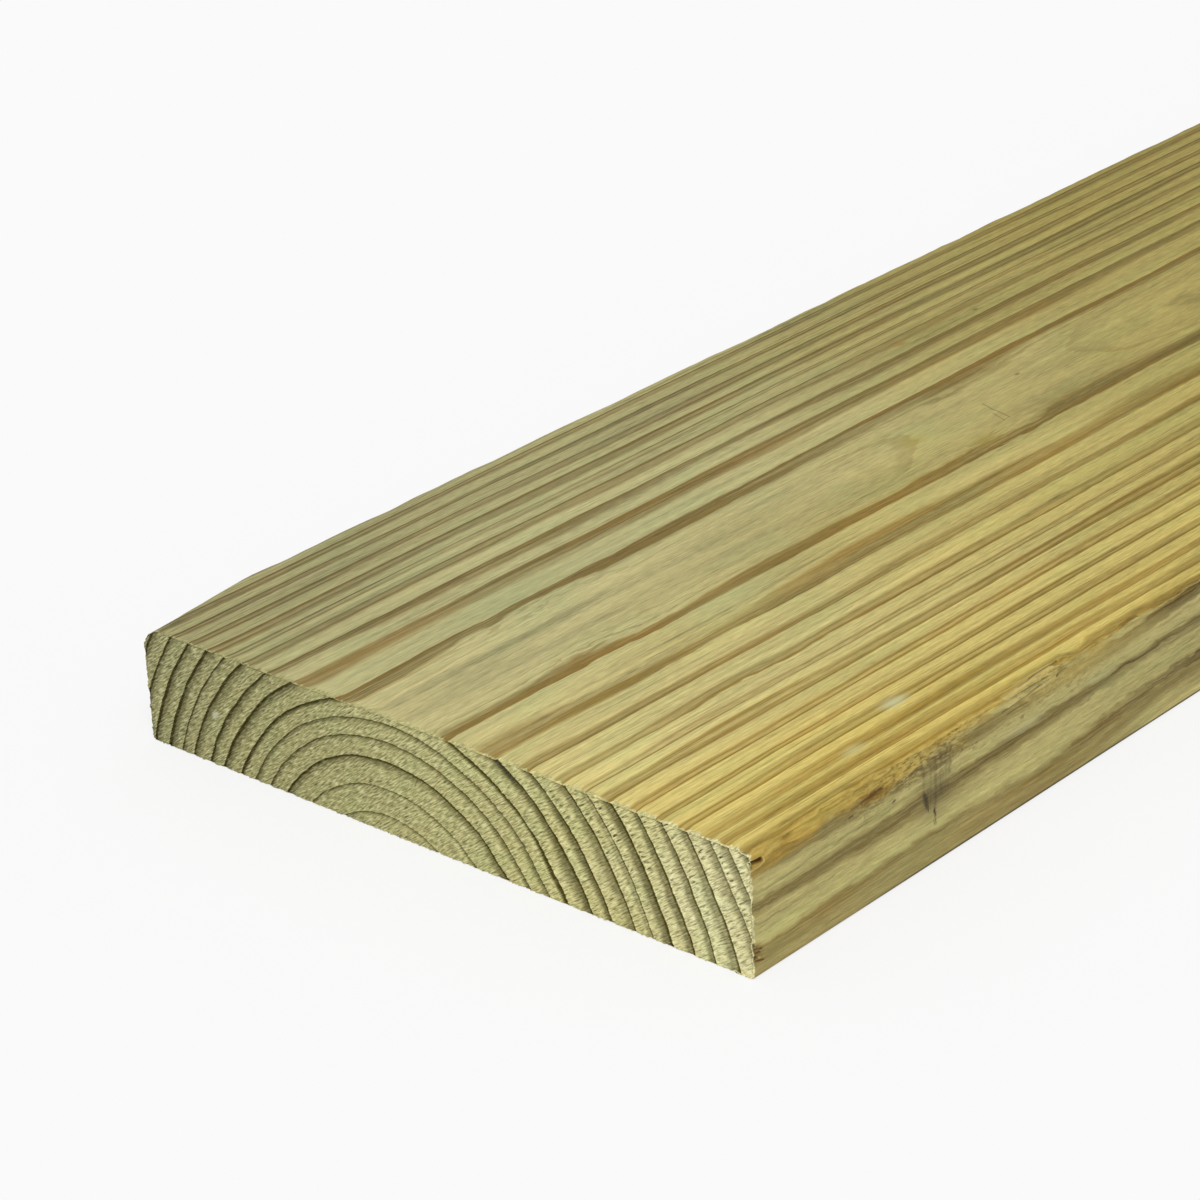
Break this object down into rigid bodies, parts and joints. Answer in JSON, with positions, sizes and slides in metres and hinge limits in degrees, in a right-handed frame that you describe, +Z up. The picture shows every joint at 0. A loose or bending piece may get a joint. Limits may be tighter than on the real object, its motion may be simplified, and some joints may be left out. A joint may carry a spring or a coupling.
{
  "type": "pressure-treated pine board",
  "caption": "Flat sawn pine board, dressed on all sides, with eased long edges, square-sawn ends and growth rings showing; building stock for decks, joists and steps.",
  "frame": {"origin": "centre of the bottom wide face, midway along the board", "axes": "+X across the width, +Y along the grain and the length, +Z up through the thickness"},
  "size_m": [0.235, 2.4384, 0.0381],
  "materials": {
    "treated_pine": "planed bare wood, pale olive-yellow from preservative, with brown latewood lines; matte"
  },
  "bodies": {
    "root": {"pine_board": "treated_pine"}
  },
  "joints": []
}
